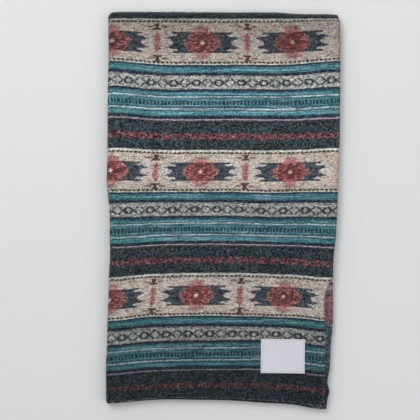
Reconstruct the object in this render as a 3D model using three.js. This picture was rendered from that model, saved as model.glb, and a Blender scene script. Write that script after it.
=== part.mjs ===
import * as THREE from "three";

// A woven throw blanket, folded in thirds across its width and then in half over its top edge.
// It lies flat. X runs across the fold, Y up its folded length and Z up from the surface.
// All sizes are in millimetres.

// Cloth
const CLOTH_THICK = 3;
const LAYER_GAP = 0.6;
const HALVES_GAP = 1;
const EDGE_ROUND = 1.8;

// Cloth distance from the crest of the top fold to the hem on the front half
const FRONT_LENGTH = 716;
const BACK_LENGTH = 718;

// The left fold holds the tucked panel, and the right fold holds nothing
const LEFT_FOLD_RADIUS = CLOTH_THICK + LAYER_GAP;
const RIGHT_FOLD_RADIUS = LEFT_FOLD_RADIUS / 2;
const TUCK_SHORT_OF_FOLD = 0.05;

// Heights of the three panels within one half, to the middle of the cloth
const BASE_HEIGHT = CLOTH_THICK / 2;
const TUCK_HEIGHT = BASE_HEIGHT + LEFT_FOLD_RADIUS;
const TOP_HEIGHT = TUCK_HEIGHT + LEFT_FOLD_RADIUS;
const HALF_THICK = TOP_HEIGHT + CLOTH_THICK / 2;

// Top fold, round which both halves turn
const INNER_TURN = HALVES_GAP / 2;
const OUTER_TURN = INNER_TURN + HALF_THICK;
const TURN_CLOTH = (Math.PI / 2) * (INNER_TURN + TOP_HEIGHT);
const FOLD_AXIS_HEIGHT = OUTER_TURN;
const STACK_THICK = 2 * OUTER_TURN;
const TOP_EDGE_Y = 362;

// Outline of the folded blanket, read down the cloth from the crest of the top fold.
// left and right are the X of the two sides, and base_right is the folded side under the top panel.
const SIDES = [
  { down: 0, left: -205.5, right: 209, base_right: 209 },
  { down: 12, left: -208, right: 212, base_right: 212 },
  { down: 30, left: -208.2, right: 214.5, base_right: 214.5 },
  { down: 75, left: -207.6, right: 215, base_right: 215 },
  { down: 160, left: -209.2, right: 214.5, base_right: 214.5 },
  { down: 250, left: -209.7, right: 213.2, base_right: 213.3 },
  { down: 315, left: -210.8, right: 211.1, base_right: 211.6 },
  { down: 340, left: -208.2, right: 210.2, base_right: 210.7 },
  { down: 365, left: -205.8, right: 209.2, base_right: 209.7 },
  { down: 410, left: -205.6, right: 206.4, base_right: 207 },
  { down: 445, left: -205, right: 202.4, base_right: 203 },
  { down: 470, left: -206.6, right: 201.4, base_right: 202.2 },
  { down: 485, left: -207.1, right: 199.6, base_right: 202.2 },
  { down: 497, left: -207.4, right: 193, base_right: 202.2 },
  { down: 508, left: -207.6, right: 188.3, base_right: 202.2 },
  { down: 520, left: -208, right: 186, base_right: 202.2 },
  { down: 545, left: -209, right: 185.5, base_right: 202.3 },
  { down: 562, left: -209.5, right: 187, base_right: 202 },
  { down: 578, left: -210, right: 187.8, base_right: 200.8 },
  { down: 614, left: -210.8, right: 187.8, base_right: 197.8 },
  { down: 640, left: -212, right: 187.6, base_right: 196.8 },
  { down: 656, left: -212.2, right: 187.4, base_right: 195 },
  { down: 675, left: -212, right: 187.3, base_right: 191.8 },
  { down: 690, left: -211.8, right: 188, base_right: 195.3 },
  { down: 704, left: -211.6, right: 187.8, base_right: 192 },
  { down: 725, left: -210.4, right: 186.5, base_right: 189.5 },
];

// How far the cloth lies below the top edge. middle is on the centre line, the lower columns say how
// much lower the same thread lies near that side, and the half columns how it sags between the two.
const DROPS = [
  { down: 15, middle: 10.9, left_lower: 0, right_lower: 0, half_left: 0, half_right: 0 },
  { down: 24, middle: 20.6, left_lower: -0.8, right_lower: -5.5, half_left: 0, half_right: 0 },
  { down: 55, middle: 54.2, left_lower: -3.5, right_lower: -5.7, half_left: 0.4, half_right: 0.6 },
  { down: 75, middle: 74.9, left_lower: -5, right_lower: -5.8, half_left: 0.5, half_right: 0.5 },
  { down: 100, middle: 101.2, left_lower: -7.7, right_lower: -6.8, half_left: 0.9, half_right: 0.9 },
  { down: 125, middle: 125.8, left_lower: -6.3, right_lower: -5.3, half_left: 1.2, half_right: 1.4 },
  { down: 150, middle: 150.1, left_lower: -6.1, right_lower: -3.7, half_left: 1.8, half_right: 1 },
  { down: 176, middle: 176.3, left_lower: -4.9, right_lower: -3, half_left: 1.3, half_right: 1.4 },
  { down: 202, middle: 204.6, left_lower: -4.8, right_lower: -2.1, half_left: 1.2, half_right: 1 },
  { down: 227, middle: 230.9, left_lower: -4.6, right_lower: -2.8, half_left: 0.9, half_right: 1.3 },
  { down: 252, middle: 255.5, left_lower: -3.7, right_lower: -2.8, half_left: 0.9, half_right: 1.4 },
  { down: 278, middle: 280.3, left_lower: -2.5, right_lower: -1.6, half_left: 0.3, half_right: 1.4 },
  { down: 304, middle: 303.9, left_lower: -0.5, right_lower: -0.3, half_left: 0, half_right: 1.3 },
  { down: 327, middle: 326.8, left_lower: 0.8, right_lower: -0.4, half_left: 0, half_right: 1.5 },
  { down: 355, middle: 353.7, left_lower: 1.4, right_lower: 1.4, half_left: 0, half_right: 1.8 },
  { down: 430, middle: 425.5, left_lower: 6.7, right_lower: 6.8, half_left: 0, half_right: 1.8 },
  { down: 485, middle: 479, left_lower: 8.3, right_lower: 9, half_left: 0, half_right: 1.8 },
  { down: 560, middle: 552, left_lower: 9.1, right_lower: 10.5, half_left: 0, half_right: 1.2 },
  { down: 584, middle: 575.5, left_lower: 9.2, right_lower: 11, half_left: 0, half_right: 0.2 },
  { down: 610, middle: 601, left_lower: 9.3, right_lower: 10, half_left: 0, half_right: -1.2 },
  { down: 635, middle: 626, left_lower: 9, right_lower: 10.2, half_left: 0, half_right: -1.4 },
  { down: 663, middle: 653.8, left_lower: 9.5, right_lower: 11.5, half_left: 0, half_right: -0.8 },
  { down: 690, middle: 680.5, left_lower: 8.3, right_lower: 11.3, half_left: 0, half_right: -0.4 },
  { down: 716, middle: 704.3, left_lower: 7, right_lower: 16, half_left: -1.4, half_right: 2.8 },
  { down: 730, middle: 718, left_lower: 6.8, right_lower: 16.5, half_left: -1.6, half_right: 3 },
];

// Share of the side columns above that a thread takes on its way from the centre line (0) to a side (1)
const THREAD_BEND = [
  { out: 0, share: 0 },
  { out: 0.3, share: 0.06 },
  { out: 0.5, share: 0.15 },
  { out: 0.6, share: 0.25 },
  { out: 0.7, share: 0.42 },
  { out: 0.8, share: 0.68 },
  { out: 0.9, share: 0.93 },
  { out: 1, share: 1 },
  { out: 1.1, share: 1.01 },
];

// The sag of the half columns is centred there, and fades to both sides
const SAG_AT = 0.46;
const SAG_WIDE = 0.24;

// Top edge, across the blanket from -1 at the left side to 1 at the right side
const TOP_EDGE = [
  { across: -1, low: 1.8 },
  { across: -0.94, low: 0 },
  { across: -0.65, low: 0 },
  { across: -0.2, low: 0.4 },
  { across: 0, low: 0.9 },
  { across: 0.3, low: 0.8 },
  { across: 0.48, low: 0.7 },
  { across: 0.62, low: 3.4 },
  { across: 0.72, low: 4.2 },
  { across: 0.92, low: 4.2 },
  { across: 1, low: 5 },
];

// How far each panel's hem reaches past the top panel's hem
const HEM_REACH = { top: 0, leftFold: 3, base: 3.5, rightFold: 5, tuck: 3 };
const BACK_HEM_REACH = { top: 3, leftFold: 2, base: 1, rightFold: 0, tuck: 2 };

// The back half lies a little off the front half
const BACK_OFFSETS = [
  { down: 0, left: 0, right: 0 },
  { down: 90, left: 0.8, right: -0.8 },
  { down: 330, left: 1, right: -1.5 },
  { down: 560, left: -0.6, right: -2 },
  { down: 725, left: -2.2, right: -3 },
];

// Soft swells and hollows of the front, which fade to nothing at the bottom
const SWELLS = [
  { x: -195, y: 260, half_wide: 60, half_long: 130, rise: 1.3 },
  { x: -190, y: -60, half_wide: 50, half_long: 150, rise: 1.1 },
  { x: 150, y: 230, half_wide: 90, half_long: 110, rise: 0.9 },
  { x: 40, y: 120, half_wide: 120, half_long: 80, rise: -0.9 },
  { x: -60, y: -130, half_wide: 130, half_long: 90, rise: 0.8 },
  { x: 160, y: -60, half_wide: 70, half_long: 140, rise: 1 },
  { x: 60, y: -270, half_wide: 150, half_long: 60, rise: -0.8 },
  { x: -160, y: -300, half_wide: 60, half_long: 60, rise: 1 },
];

// Sewn label near the free corner
const LABEL = {
  wide: 80,
  long: 62,
  thick: 0.8,
  clearance: 0.4,
  x: 109.9,
  y: -266.1,
  turn_deg: -0.6,
  steps_across: 10,
  steps_down: 8,
};

// Mesh steps. The panels share one list of stations, closer near the folds, and the parts run
// from the top fold to the hem.
const PANEL_PARTS = [0.03, 0.08, 0.16, 0.28, 0.42, 0.58, 0.72, 0.84, 0.92, 0.97];
const SIDE_FOLD_STEPS = 8;
const TOP_FOLD_STEPS = 10;
const FRONT_PARTS = [
  0.03, 0.08, 0.14, 0.2, 0.26, 0.33, 0.4, 0.47, 0.54,
  0.61, 0.66, 0.685, 0.71, 0.745, 0.8, 0.85, 0.895, 0.93, 0.96, 0.98,
];
const BACK_PARTS = [0.04, 0.12, 0.21, 0.3, 0.4, 0.5, 0.6, 0.7, 0.8, 0.88, 0.94];

const CLOTH_COLOR = 0x5d6464;
const LABEL_COLOR = 0xe8e8e4;

// Reads a column of a table at any place, on a smooth curve through its rows
function readTable(rows, key, column, at) {
  let i = 0;
  while (i < rows.length - 2 && at > rows[i + 1][key]) {
    i += 1;
  }
  const a = rows[i];
  const b = rows[i + 1];
  const before = rows[Math.max(i - 1, 0)];
  const after = rows[Math.min(i + 2, rows.length - 1)];
  const span = b[key] - a[key];
  const t = (at - a[key]) / span;
  const slopeA = (b[column] - before[column]) / (b[key] - before[key]);
  const slopeB = (after[column] - a[column]) / (after[key] - a[key]);
  if (t < 0) {
    return a[column] + t * span * slopeA;
  }
  if (t > 1) {
    return b[column] + (t - 1) * span * slopeB;
  }
  const t2 = t * t;
  const t3 = t2 * t;
  return (
    (2 * t3 - 3 * t2 + 1) * a[column] +
    (t3 - 2 * t2 + t) * span * slopeA +
    (3 * t2 - 2 * t3) * b[column] +
    (t3 - t2) * span * slopeB
  );
}

function mix(a, b, t) {
  return a + (b - a) * t;
}

// One station of the section across the folded cloth. across runs from 0 at the left fold to 1 at
// the right side, aside is a step beyond those, and height is the middle of the cloth in its half.
function station(panel, across, aside, height, normalX, normalHeight, edge, reach) {
  return { panel, across, aside, height, normalX, normalHeight, edge, reach };
}

function reachAt(from, to, t) {
  return {
    front: mix(HEM_REACH[from], HEM_REACH[to], t),
    back: mix(BACK_HEM_REACH[from], BACK_HEM_REACH[to], t),
  };
}

// The back-and-forth section, from the free edge of the top panel to the free edge of the tuck
function sectionStations() {
  const list = [];
  const edgeSteps = [0, EDGE_ROUND * 0.35, EDGE_ROUND];
  for (const edge of edgeSteps) {
    list.push(station("top", 1, -edge, TOP_HEIGHT, 0, 1, edge, reachAt("top", "top", 0)));
  }
  for (const across of PANEL_PARTS.slice().reverse()) {
    const reach = reachAt("top", "leftFold", Math.max(0, 1 - across * 4));
    list.push(station("top", across, 0, TOP_HEIGHT, 0, 1, EDGE_ROUND, reach));
  }
  for (let i = 0; i <= SIDE_FOLD_STEPS; i += 1) {
    const turn = (Math.PI * i) / SIDE_FOLD_STEPS;
    const aside = -LEFT_FOLD_RADIUS * Math.sin(turn);
    const height = TUCK_HEIGHT + LEFT_FOLD_RADIUS * Math.cos(turn);
    const reach = reachAt("leftFold", "base", i / SIDE_FOLD_STEPS);
    list.push(station("left", 0, aside, height, -Math.sin(turn), Math.cos(turn), EDGE_ROUND, reach));
  }
  for (const across of PANEL_PARTS) {
    const reach = reachAt("base", "rightFold", across);
    list.push(station("base", across, 0, BASE_HEIGHT, 0, -1, EDGE_ROUND, reach));
  }
  const rightFoldHeight = BASE_HEIGHT + RIGHT_FOLD_RADIUS;
  for (let i = 0; i <= SIDE_FOLD_STEPS; i += 1) {
    const turn = (Math.PI * i) / SIDE_FOLD_STEPS;
    const aside = RIGHT_FOLD_RADIUS * Math.sin(turn);
    const height = rightFoldHeight - RIGHT_FOLD_RADIUS * Math.cos(turn);
    const reach = reachAt("rightFold", "rightFold", 0);
    list.push(station("base", 1, aside, height, Math.sin(turn), -Math.cos(turn), EDGE_ROUND, reach));
  }
  for (const across of PANEL_PARTS.slice().reverse()) {
    if (across > TUCK_SHORT_OF_FOLD) {
      const reach = reachAt("rightFold", "tuck", 1 - across);
      list.push(station("tuck", across, 0, TUCK_HEIGHT, 0, 1, EDGE_ROUND, reach));
    }
  }
  for (const edge of edgeSteps.slice().reverse()) {
    const reach = reachAt("tuck", "tuck", 0);
    list.push(station("tuck", TUCK_SHORT_OF_FOLD, edge, TUCK_HEIGHT, 0, 1, edge, reach));
  }
  return list;
}

// Steps along the cloth from the front hem (negative) over the top fold to the back hem
function lengthSteps() {
  const list = [];
  const edgeSteps = [0, EDGE_ROUND * 0.35, EDGE_ROUND];
  for (const edge of edgeSteps) {
    list.push({ half: "front", part: 1, edge });
  }
  for (const part of FRONT_PARTS.slice().reverse()) {
    list.push({ half: "front", part, edge: EDGE_ROUND });
  }
  for (let i = 0; i <= TOP_FOLD_STEPS; i += 1) {
    list.push({ half: "turn", part: (2 * i) / TOP_FOLD_STEPS - 1, edge: EDGE_ROUND });
  }
  for (const part of BACK_PARTS) {
    list.push({ half: "back", part, edge: EDGE_ROUND });
  }
  for (const edge of edgeSteps.slice().reverse()) {
    list.push({ half: "back", part: 1, edge });
  }
  return list;
}

// Cloth distance from the crest, negative on the front half
function clothDistance(step, reach) {
  if (step.half === "turn") {
    return step.part * TURN_CLOTH;
  }
  const front = step.half === "front";
  const hem = front ? FRONT_LENGTH + reach.front : BACK_LENGTH + reach.back;
  const inset = step.edge < EDGE_ROUND || step.part === 1 ? step.edge : 0;
  const distance = mix(TURN_CLOTH, hem, step.part) - inset;
  return front ? -distance : distance;
}

// How far below the top edge a thread lies, across from -1 to 1
function dropAt(down, across) {
  const middle = readTable(DROPS, "down", "middle", down);
  const lower = readTable(DROPS, "down", across < 0 ? "left_lower" : "right_lower", down);
  const share = readTable(THREAD_BEND, "out", "share", Math.abs(across));
  const half = readTable(DROPS, "down", across < 0 ? "half_left" : "half_right", down);
  const sag = Math.exp(-(((Math.abs(across) - SAG_AT) / SAG_WIDE) ** 2));
  return middle + lower * share + half * sag;
}

function swellAt(x, y) {
  let rise = 0;
  for (const s of SWELLS) {
    const far = ((x - s.x) / s.half_wide) ** 2 + ((y - s.y) / s.half_long) ** 2;
    rise += s.rise * Math.exp(-far);
  }
  return rise;
}

// X of a station, at a cloth distance from the crest
function acrossToX(st, distance) {
  const down = Math.abs(distance);
  const back = distance > 0;
  const shiftLeft = back ? readTable(BACK_OFFSETS, "down", "left", down) : 0;
  const shiftRight = back ? readTable(BACK_OFFSETS, "down", "right", down) : 0;
  const left = readTable(SIDES, "down", "left", down) + shiftLeft + LEFT_FOLD_RADIUS + CLOTH_THICK / 2;
  const free = st.panel === "top";
  const foldOut = RIGHT_FOLD_RADIUS + CLOTH_THICK / 2;
  const topRight = readTable(SIDES, "down", "right", down) + shiftRight;
  const baseRight = readTable(SIDES, "down", "base_right", down) + shiftRight - foldOut;
  return mix(left, free ? topRight : baseRight, st.across) + st.aside;
}

// The place of a point of the folded cloth, with its height above the inner face of its half
function place(x, height, distance) {
  const down = Math.abs(distance);
  const left = readTable(SIDES, "down", "left", down);
  const right = readTable(SIDES, "down", "base_right", down);
  const across = Math.min(1.03, Math.max(-1.03, (2 * (x - left)) / (right - left) - 1));
  const radius = INNER_TURN + height;
  const low = readTable(TOP_EDGE, "across", "low", across);
  let y = TOP_EDGE_Y - low;
  let z = FOLD_AXIS_HEIGHT;
  if (down <= TURN_CLOTH) {
    const turn = (distance / TURN_CLOTH) * (Math.PI / 2);
    y += radius * Math.cos(turn) - OUTER_TURN;
    z -= radius * Math.sin(turn);
  } else {
    const fade = Math.exp(-(down - TURN_CLOTH) / 60);
    y += low * (1 - fade) + dropAt(TURN_CLOTH, across) - OUTER_TURN - dropAt(down, across);
    z += distance > 0 ? -radius : radius;
  }
  const lift = 1 + swellAt(x, y) / STACK_THICK;
  return new THREE.Vector3(x, y, z * lift);
}

// Half thickness, drawn in at the free edges so that they are rounded
function halfThick(sideEdge, hemEdge) {
  const round = (edge) => Math.sqrt(1 - ((EDGE_ROUND - edge) / EDGE_ROUND) ** 2 * 0.85);
  return (CLOTH_THICK / 2) * Math.min(round(sideEdge), round(hemEdge));
}

function clothGeometry() {
  const stations = sectionStations();
  const steps = lengthSteps();
  const points = [];
  for (const faceSide of [1, -1]) {
    for (const step of steps) {
      for (const st of stations) {
        const half = halfThick(st.edge, step.edge) * faceSide;
        const distance = clothDistance(step, st.reach);
        const x = acrossToX(st, distance) + st.normalX * half;
        const height = st.height + st.normalHeight * half;
        points.push(place(x, height, distance));
      }
    }
  }
  const columns = stations.length;
  const rows = steps.length;
  const index = [];
  const at = (side, row, column) => side * rows * columns + row * columns + column;
  const quad = (a, b, c, d) => {
    const short = points[a].distanceTo(points[c]) <= points[b].distanceTo(points[d]);
    index.push(...(short ? [a, b, c, a, c, d] : [a, b, d, b, c, d]));
  };
  for (let r = 0; r < rows - 1; r += 1) {
    for (let c = 0; c < columns - 1; c += 1) {
      quad(at(0, r, c), at(0, r + 1, c), at(0, r + 1, c + 1), at(0, r, c + 1));
      quad(at(1, r, c), at(1, r, c + 1), at(1, r + 1, c + 1), at(1, r + 1, c));
    }
    const last = columns - 1;
    quad(at(0, r, 0), at(1, r, 0), at(1, r + 1, 0), at(0, r + 1, 0));
    quad(at(0, r, last), at(0, r + 1, last), at(1, r + 1, last), at(1, r, last));
  }
  for (let c = 0; c < columns - 1; c += 1) {
    const last = rows - 1;
    quad(at(0, 0, c), at(0, 0, c + 1), at(1, 0, c + 1), at(1, 0, c));
    quad(at(0, last, c), at(1, last, c), at(1, last, c + 1), at(0, last, c + 1));
  }
  return closedGeometry(points, index);
}

function closedGeometry(points, index) {
  const geometry = new THREE.BufferGeometry();
  geometry.setFromPoints(points);
  geometry.setIndex(index);
  geometry.computeVertexNormals();
  return geometry;
}

// The cloth distance on the front half at which a thread crosses x, y
function distanceAt(x, y) {
  let near = TURN_CLOTH;
  let far = FRONT_LENGTH;
  for (let i = 0; i < 40; i += 1) {
    const middle = (near + far) / 2;
    if (place(x, 0, -middle).y > y) {
      near = middle;
    } else {
      far = middle;
    }
  }
  return -(near + far) / 2;
}

// The label is one flat piece of tape that lies on the top panel and follows it
function labelGeometry() {
  const { steps_across: nx, steps_down: ny } = LABEL;
  const turn = (LABEL.turn_deg * Math.PI) / 180;
  const points = [];
  for (const height of [LABEL.clearance + LABEL.thick, LABEL.clearance]) {
    for (let j = 0; j <= ny; j += 1) {
      for (let i = 0; i <= nx; i += 1) {
        const across = (i / nx - 0.5) * LABEL.wide;
        const up = (j / ny - 0.5) * LABEL.long;
        const x = LABEL.x + across * Math.cos(turn) - up * Math.sin(turn);
        const y = LABEL.y + across * Math.sin(turn) + up * Math.cos(turn);
        const onCloth = place(x, HALF_THICK, distanceAt(x, y));
        points.push(new THREE.Vector3(x, y, onCloth.z + height));
      }
    }
  }
  const at = (side, j, i) => (side * (ny + 1) + j) * (nx + 1) + i;
  const index = [];
  const quad = (a, b, c, d) => index.push(a, b, c, a, c, d);
  for (let j = 0; j < ny; j += 1) {
    for (let i = 0; i < nx; i += 1) {
      quad(at(0, j, i), at(0, j, i + 1), at(0, j + 1, i + 1), at(0, j + 1, i));
      quad(at(1, j, i), at(1, j + 1, i), at(1, j + 1, i + 1), at(1, j, i + 1));
    }
    quad(at(0, j, 0), at(0, j + 1, 0), at(1, j + 1, 0), at(1, j, 0));
    quad(at(0, j, nx), at(1, j, nx), at(1, j + 1, nx), at(0, j + 1, nx));
  }
  for (let i = 0; i < nx; i += 1) {
    quad(at(0, 0, i), at(1, 0, i), at(1, 0, i + 1), at(0, 0, i + 1));
    quad(at(0, ny, i), at(0, ny, i + 1), at(1, ny, i + 1), at(1, ny, i));
  }
  return closedGeometry(points, index);
}

function part(name, geometry, color) {
  const material = new THREE.MeshStandardMaterial({ color, roughness: 0.95, metalness: 0 });
  const mesh = new THREE.Mesh(geometry, material);
  mesh.name = name;
  return mesh;
}

const blanket = new THREE.Group();
blanket.name = "throw_blanket";
blanket.add(part("blanket", clothGeometry(), CLOTH_COLOR));
blanket.add(part("label", labelGeometry(), LABEL_COLOR));

export default blanket;
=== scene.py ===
import math
from functools import partialmethod

import bpy
import mathutils
import numpy as np
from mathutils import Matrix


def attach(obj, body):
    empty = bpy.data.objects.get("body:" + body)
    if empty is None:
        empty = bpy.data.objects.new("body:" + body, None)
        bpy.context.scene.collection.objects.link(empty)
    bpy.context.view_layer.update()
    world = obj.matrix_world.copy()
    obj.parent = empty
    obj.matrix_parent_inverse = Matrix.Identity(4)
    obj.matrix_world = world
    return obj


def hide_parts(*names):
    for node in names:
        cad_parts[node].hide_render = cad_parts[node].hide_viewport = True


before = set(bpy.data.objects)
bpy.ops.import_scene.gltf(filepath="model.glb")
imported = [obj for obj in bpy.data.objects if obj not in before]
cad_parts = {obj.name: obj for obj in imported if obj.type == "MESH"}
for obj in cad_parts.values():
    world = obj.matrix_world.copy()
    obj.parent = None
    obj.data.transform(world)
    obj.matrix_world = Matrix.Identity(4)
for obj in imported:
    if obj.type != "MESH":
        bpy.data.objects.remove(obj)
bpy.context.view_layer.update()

# A woven wool throw blanket, folded in thirds across its width and then in half over its top edge.
# The shape tables are in millimetres, as in the part's source. Meshes are made in metres.
MM = 0.001

CLOTH_THICK = 3.0
LAYER_GAP = 0.6
HALVES_GAP = 1.0
EDGE_ROUND = 1.8
EDGE_STEPS = [0, 0.15, 0.45, 0.9, 1.35, EDGE_ROUND]
FRONT_LENGTH = 716.0
BACK_LENGTH = 718.0
LEFT_FOLD_RADIUS = CLOTH_THICK + LAYER_GAP
RIGHT_FOLD_RADIUS = LEFT_FOLD_RADIUS / 2
TUCK_SHORT_OF_FOLD = 0.05
BASE_HEIGHT = CLOTH_THICK / 2
TUCK_HEIGHT = BASE_HEIGHT + LEFT_FOLD_RADIUS
TOP_HEIGHT = TUCK_HEIGHT + LEFT_FOLD_RADIUS
HALF_THICK = TOP_HEIGHT + CLOTH_THICK / 2
INNER_TURN = HALVES_GAP / 2
OUTER_TURN = INNER_TURN + HALF_THICK
TURN_CLOTH = (math.pi / 2) * (INNER_TURN + TOP_HEIGHT)
FOLD_AXIS_HEIGHT = OUTER_TURN
STACK_THICK = 2 * OUTER_TURN
TOP_EDGE_Y = 362.0

# Mesh steps across each panel and side fold, and along each half and the top fold
STEPS = {"top": 104, "base": 30, "tuck": 28, "side_fold": 14, "front": 150, "back": 44, "top_fold": 20}


def table(columns, *rows):
    data = np.array(rows, float)
    return {name: data[:, i] for i, name in enumerate(columns.split())}


SIDES = table(
    "down left right base_right",
    (0, -205.5, 209, 209),
    (12, -208, 212, 212),
    (30, -208.2, 214.5, 214.5),
    (75, -207.6, 215, 215),
    (160, -209.2, 214.5, 214.5),
    (250, -209.7, 213.2, 213.3),
    (315, -210.8, 211.1, 211.6),
    (340, -208.2, 210.2, 210.7),
    (365, -205.8, 209.2, 209.7),
    (410, -205.6, 206.4, 207),
    (445, -205, 202.4, 203),
    (470, -206.6, 201.4, 202.2),
    (485, -207.1, 199.6, 202.2),
    (497, -207.4, 193, 202.2),
    (508, -207.6, 188.3, 202.2),
    (520, -208, 186, 202.2),
    (545, -209, 185.5, 202.3),
    (562, -209.5, 187, 202),
    (578, -210, 187.8, 200.8),
    (614, -210.8, 187.8, 197.8),
    (640, -212, 187.6, 196.8),
    (656, -212.2, 187.4, 195),
    (675, -212, 187.3, 191.8),
    (690, -211.8, 188, 195.3),
    (704, -211.6, 187.8, 192),
    (725, -210.4, 186.5, 189.5),
)
DROPS = table(
    "down middle left_lower right_lower half_left half_right",
    (15, 10.9, 0, 0, 0, 0),
    (24, 20.6, -0.8, -5.5, 0, 0),
    (55, 54.2, -3.5, -5.7, 0.4, 0.6),
    (75, 74.9, -5, -5.8, 0.5, 0.5),
    (100, 101.2, -7.7, -6.8, 0.9, 0.9),
    (125, 125.8, -6.3, -5.3, 1.2, 1.4),
    (150, 150.1, -6.1, -3.7, 1.8, 1),
    (176, 176.3, -4.9, -3, 1.3, 1.4),
    (202, 204.6, -4.8, -2.1, 1.2, 1),
    (227, 230.9, -4.6, -2.8, 0.9, 1.3),
    (252, 255.5, -3.7, -2.8, 0.9, 1.4),
    (278, 280.3, -2.5, -1.6, 0.3, 1.4),
    (304, 303.9, -0.5, -0.3, 0, 1.3),
    (327, 326.8, 0.8, -0.4, 0, 1.5),
    (355, 353.7, 1.4, 1.4, 0, 1.8),
    (430, 425.5, 6.7, 6.8, 0, 1.8),
    (485, 479, 8.3, 9, 0, 1.8),
    (560, 552, 9.1, 10.5, 0, 1.2),
    (584, 575.5, 9.2, 11, 0, 0.2),
    (610, 601, 9.3, 10, 0, -1.2),
    (635, 626, 9, 10.2, 0, -1.4),
    (663, 653.8, 9.5, 11.5, 0, -0.8),
    (690, 680.5, 8.3, 11.3, 0, -0.4),
    (716, 704.3, 7, 16, -1.4, 2.8),
    (730, 718, 6.8, 16.5, -1.6, 3),
)
THREAD_BEND = table(
    "out share",
    (0, 0),
    (0.3, 0.06),
    (0.5, 0.15),
    (0.6, 0.25),
    (0.7, 0.42),
    (0.8, 0.68),
    (0.9, 0.93),
    (1, 1),
    (1.1, 1.01),
)
SAG_AT, SAG_WIDE = 0.46, 0.24
TOP_EDGE = table(
    "across low",
    (-1, 1.8),
    (-0.94, 0),
    (-0.65, 0),
    (-0.2, 0.4),
    (0, 0.9),
    (0.3, 0.8),
    (0.48, 0.7),
    (0.62, 3.4),
    (0.72, 4.2),
    (0.92, 4.2),
    (1, 5),
)
HEM_REACH = {"top": 0.0, "left": 3.0, "base": 3.5, "right": 5.0, "tuck": 3.0}
BACK_HEM_REACH = {"top": 3.0, "left": 2.0, "base": 1.0, "right": 0.0, "tuck": 2.0}
BACK_OFFSETS = table(
    "down left right",
    (0, 0, 0),
    (90, 0.8, -0.8),
    (330, 1, -1.5),
    (560, -0.6, -2),
    (725, -2.2, -3),
)
SWELLS = table(
    "x y half_wide half_long rise",
    (-195, 260, 60, 130, 1.3),
    (-190, -60, 50, 150, 1.1),
    (150, 230, 90, 110, 0.9),
    (40, 120, 120, 80, -0.9),
    (-60, -130, 130, 90, 0.8),
    (160, -60, 70, 140, 1),
    (60, -270, 150, 60, -0.8),
    (-160, -300, 60, 60, 1),
)
LABEL = {
    "wide": 80.0, "long": 62.0, "thick": 0.8, "clearance": 0.4,
    "x": 109.9, "y": -266.1, "turn_deg": -0.6,
}
# Running stitches round it: distance from its edge, then from one to the next
STITCH = {"inset": 2.4, "pitch": 3.4, "length": 2.5, "radius": 0.24}

# The woven pattern is counted in cells across the cloth and rows along it
CELL = 166 / 90
ROW = 233 / 128
FIRST_ROW_AT = 15.7
LAST_ROW = 383.5
REPEAT = 128
# Cells from one motif, ring, diamond, dash or block to the next
PITCH = {"motif": 90, "ring": 22.5, "diamond": 11.25, "tick": 4.4, "block": 3.6}
# Middle row of the cream band, the chain and the red row in one repeat
MIDDLE_ROW = {"cream": 22.5, "chain": 62, "red": 114}
MEDALLION_AT = 88.0
PANEL_MIDDLE_CELL = 112
WORN_CELLS = 11.0
# Rows from the crest where the shown side edge changes, and where the hem rounds over
EDGE_ROW = {"stained_to": 200, "selvedge_from": 300, "corner_from": 372, "hem": (391.9, 393.1)}
# Pattern distance from the free side edge to the top panel's two sides, read down the cloth
PANEL_SPAN = table(
    "down free fold",
    (0, -0.5, 422.8),
    (50, -0.5, 422),
    (160, -0.5, 423.2),
    (250, -1.6, 423.2),
    (315, -2.3, 421.5),
    (365, -3.2, 420),
    (410, -2.9, 419.2),
    (445, -1.4, 418),
    (470, -2.5, 418.7),
    (485, -1.8, 418.4),
    (497, 3.9, 418),
    (508, 7.7, 417.6),
    (520, 8.9, 417),
    (545, 10.1, 415.6),
    (562, 8.3, 414.6),
    (578, 6.6, 413.8),
    (614, 5, 412.4),
    (730, 5, 412),
)
BASE_SPAN = 397.5
# Pattern distance to the side fold of the under panel
FOLD_AT = 415 + math.pi * LEFT_FOLD_RADIUS + BASE_SPAN
# The rows of the under panel lie lower at that fold
UNDER_LAG = 10.0


def read(tab, key, column, at):
    """A column of a table at any places, on a smooth curve through its rows."""
    at = np.asarray(at, float)
    keys, values = tab[key], tab[column]
    n = len(keys)
    i = np.searchsorted(keys[1:-1], at, side="left")
    before, after = np.maximum(i - 1, 0), np.minimum(i + 2, n - 1)
    span = keys[i + 1] - keys[i]
    t = (at - keys[i]) / span
    a, b = values[i], values[i + 1]
    slope_a = (b - values[before]) / (keys[i + 1] - keys[before])
    slope_b = (values[after] - a) / (keys[after] - keys[i])
    u = np.clip(t, 0, 1)
    inside = (
        (2 * u**3 - 3 * u**2 + 1) * a
        + (u**3 - 2 * u**2 + u) * span * slope_a
        + (3 * u**2 - 2 * u**3) * b
        + (u**3 - u**2) * span * slope_b
    )
    past = np.where(t < 0, t * span * slope_a, np.where(t > 1, (t - 1) * span * slope_b, 0))
    return inside + past


def mix(a, b, t):
    return a + (b - a) * t


def ease(count, crowd=0.6):
    """Steps from 0 to 1, closer together near both ends."""
    t = np.linspace(0, 1, count)
    return mix(t, 0.5 - 0.5 * np.cos(np.pi * t), crowd)


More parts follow.
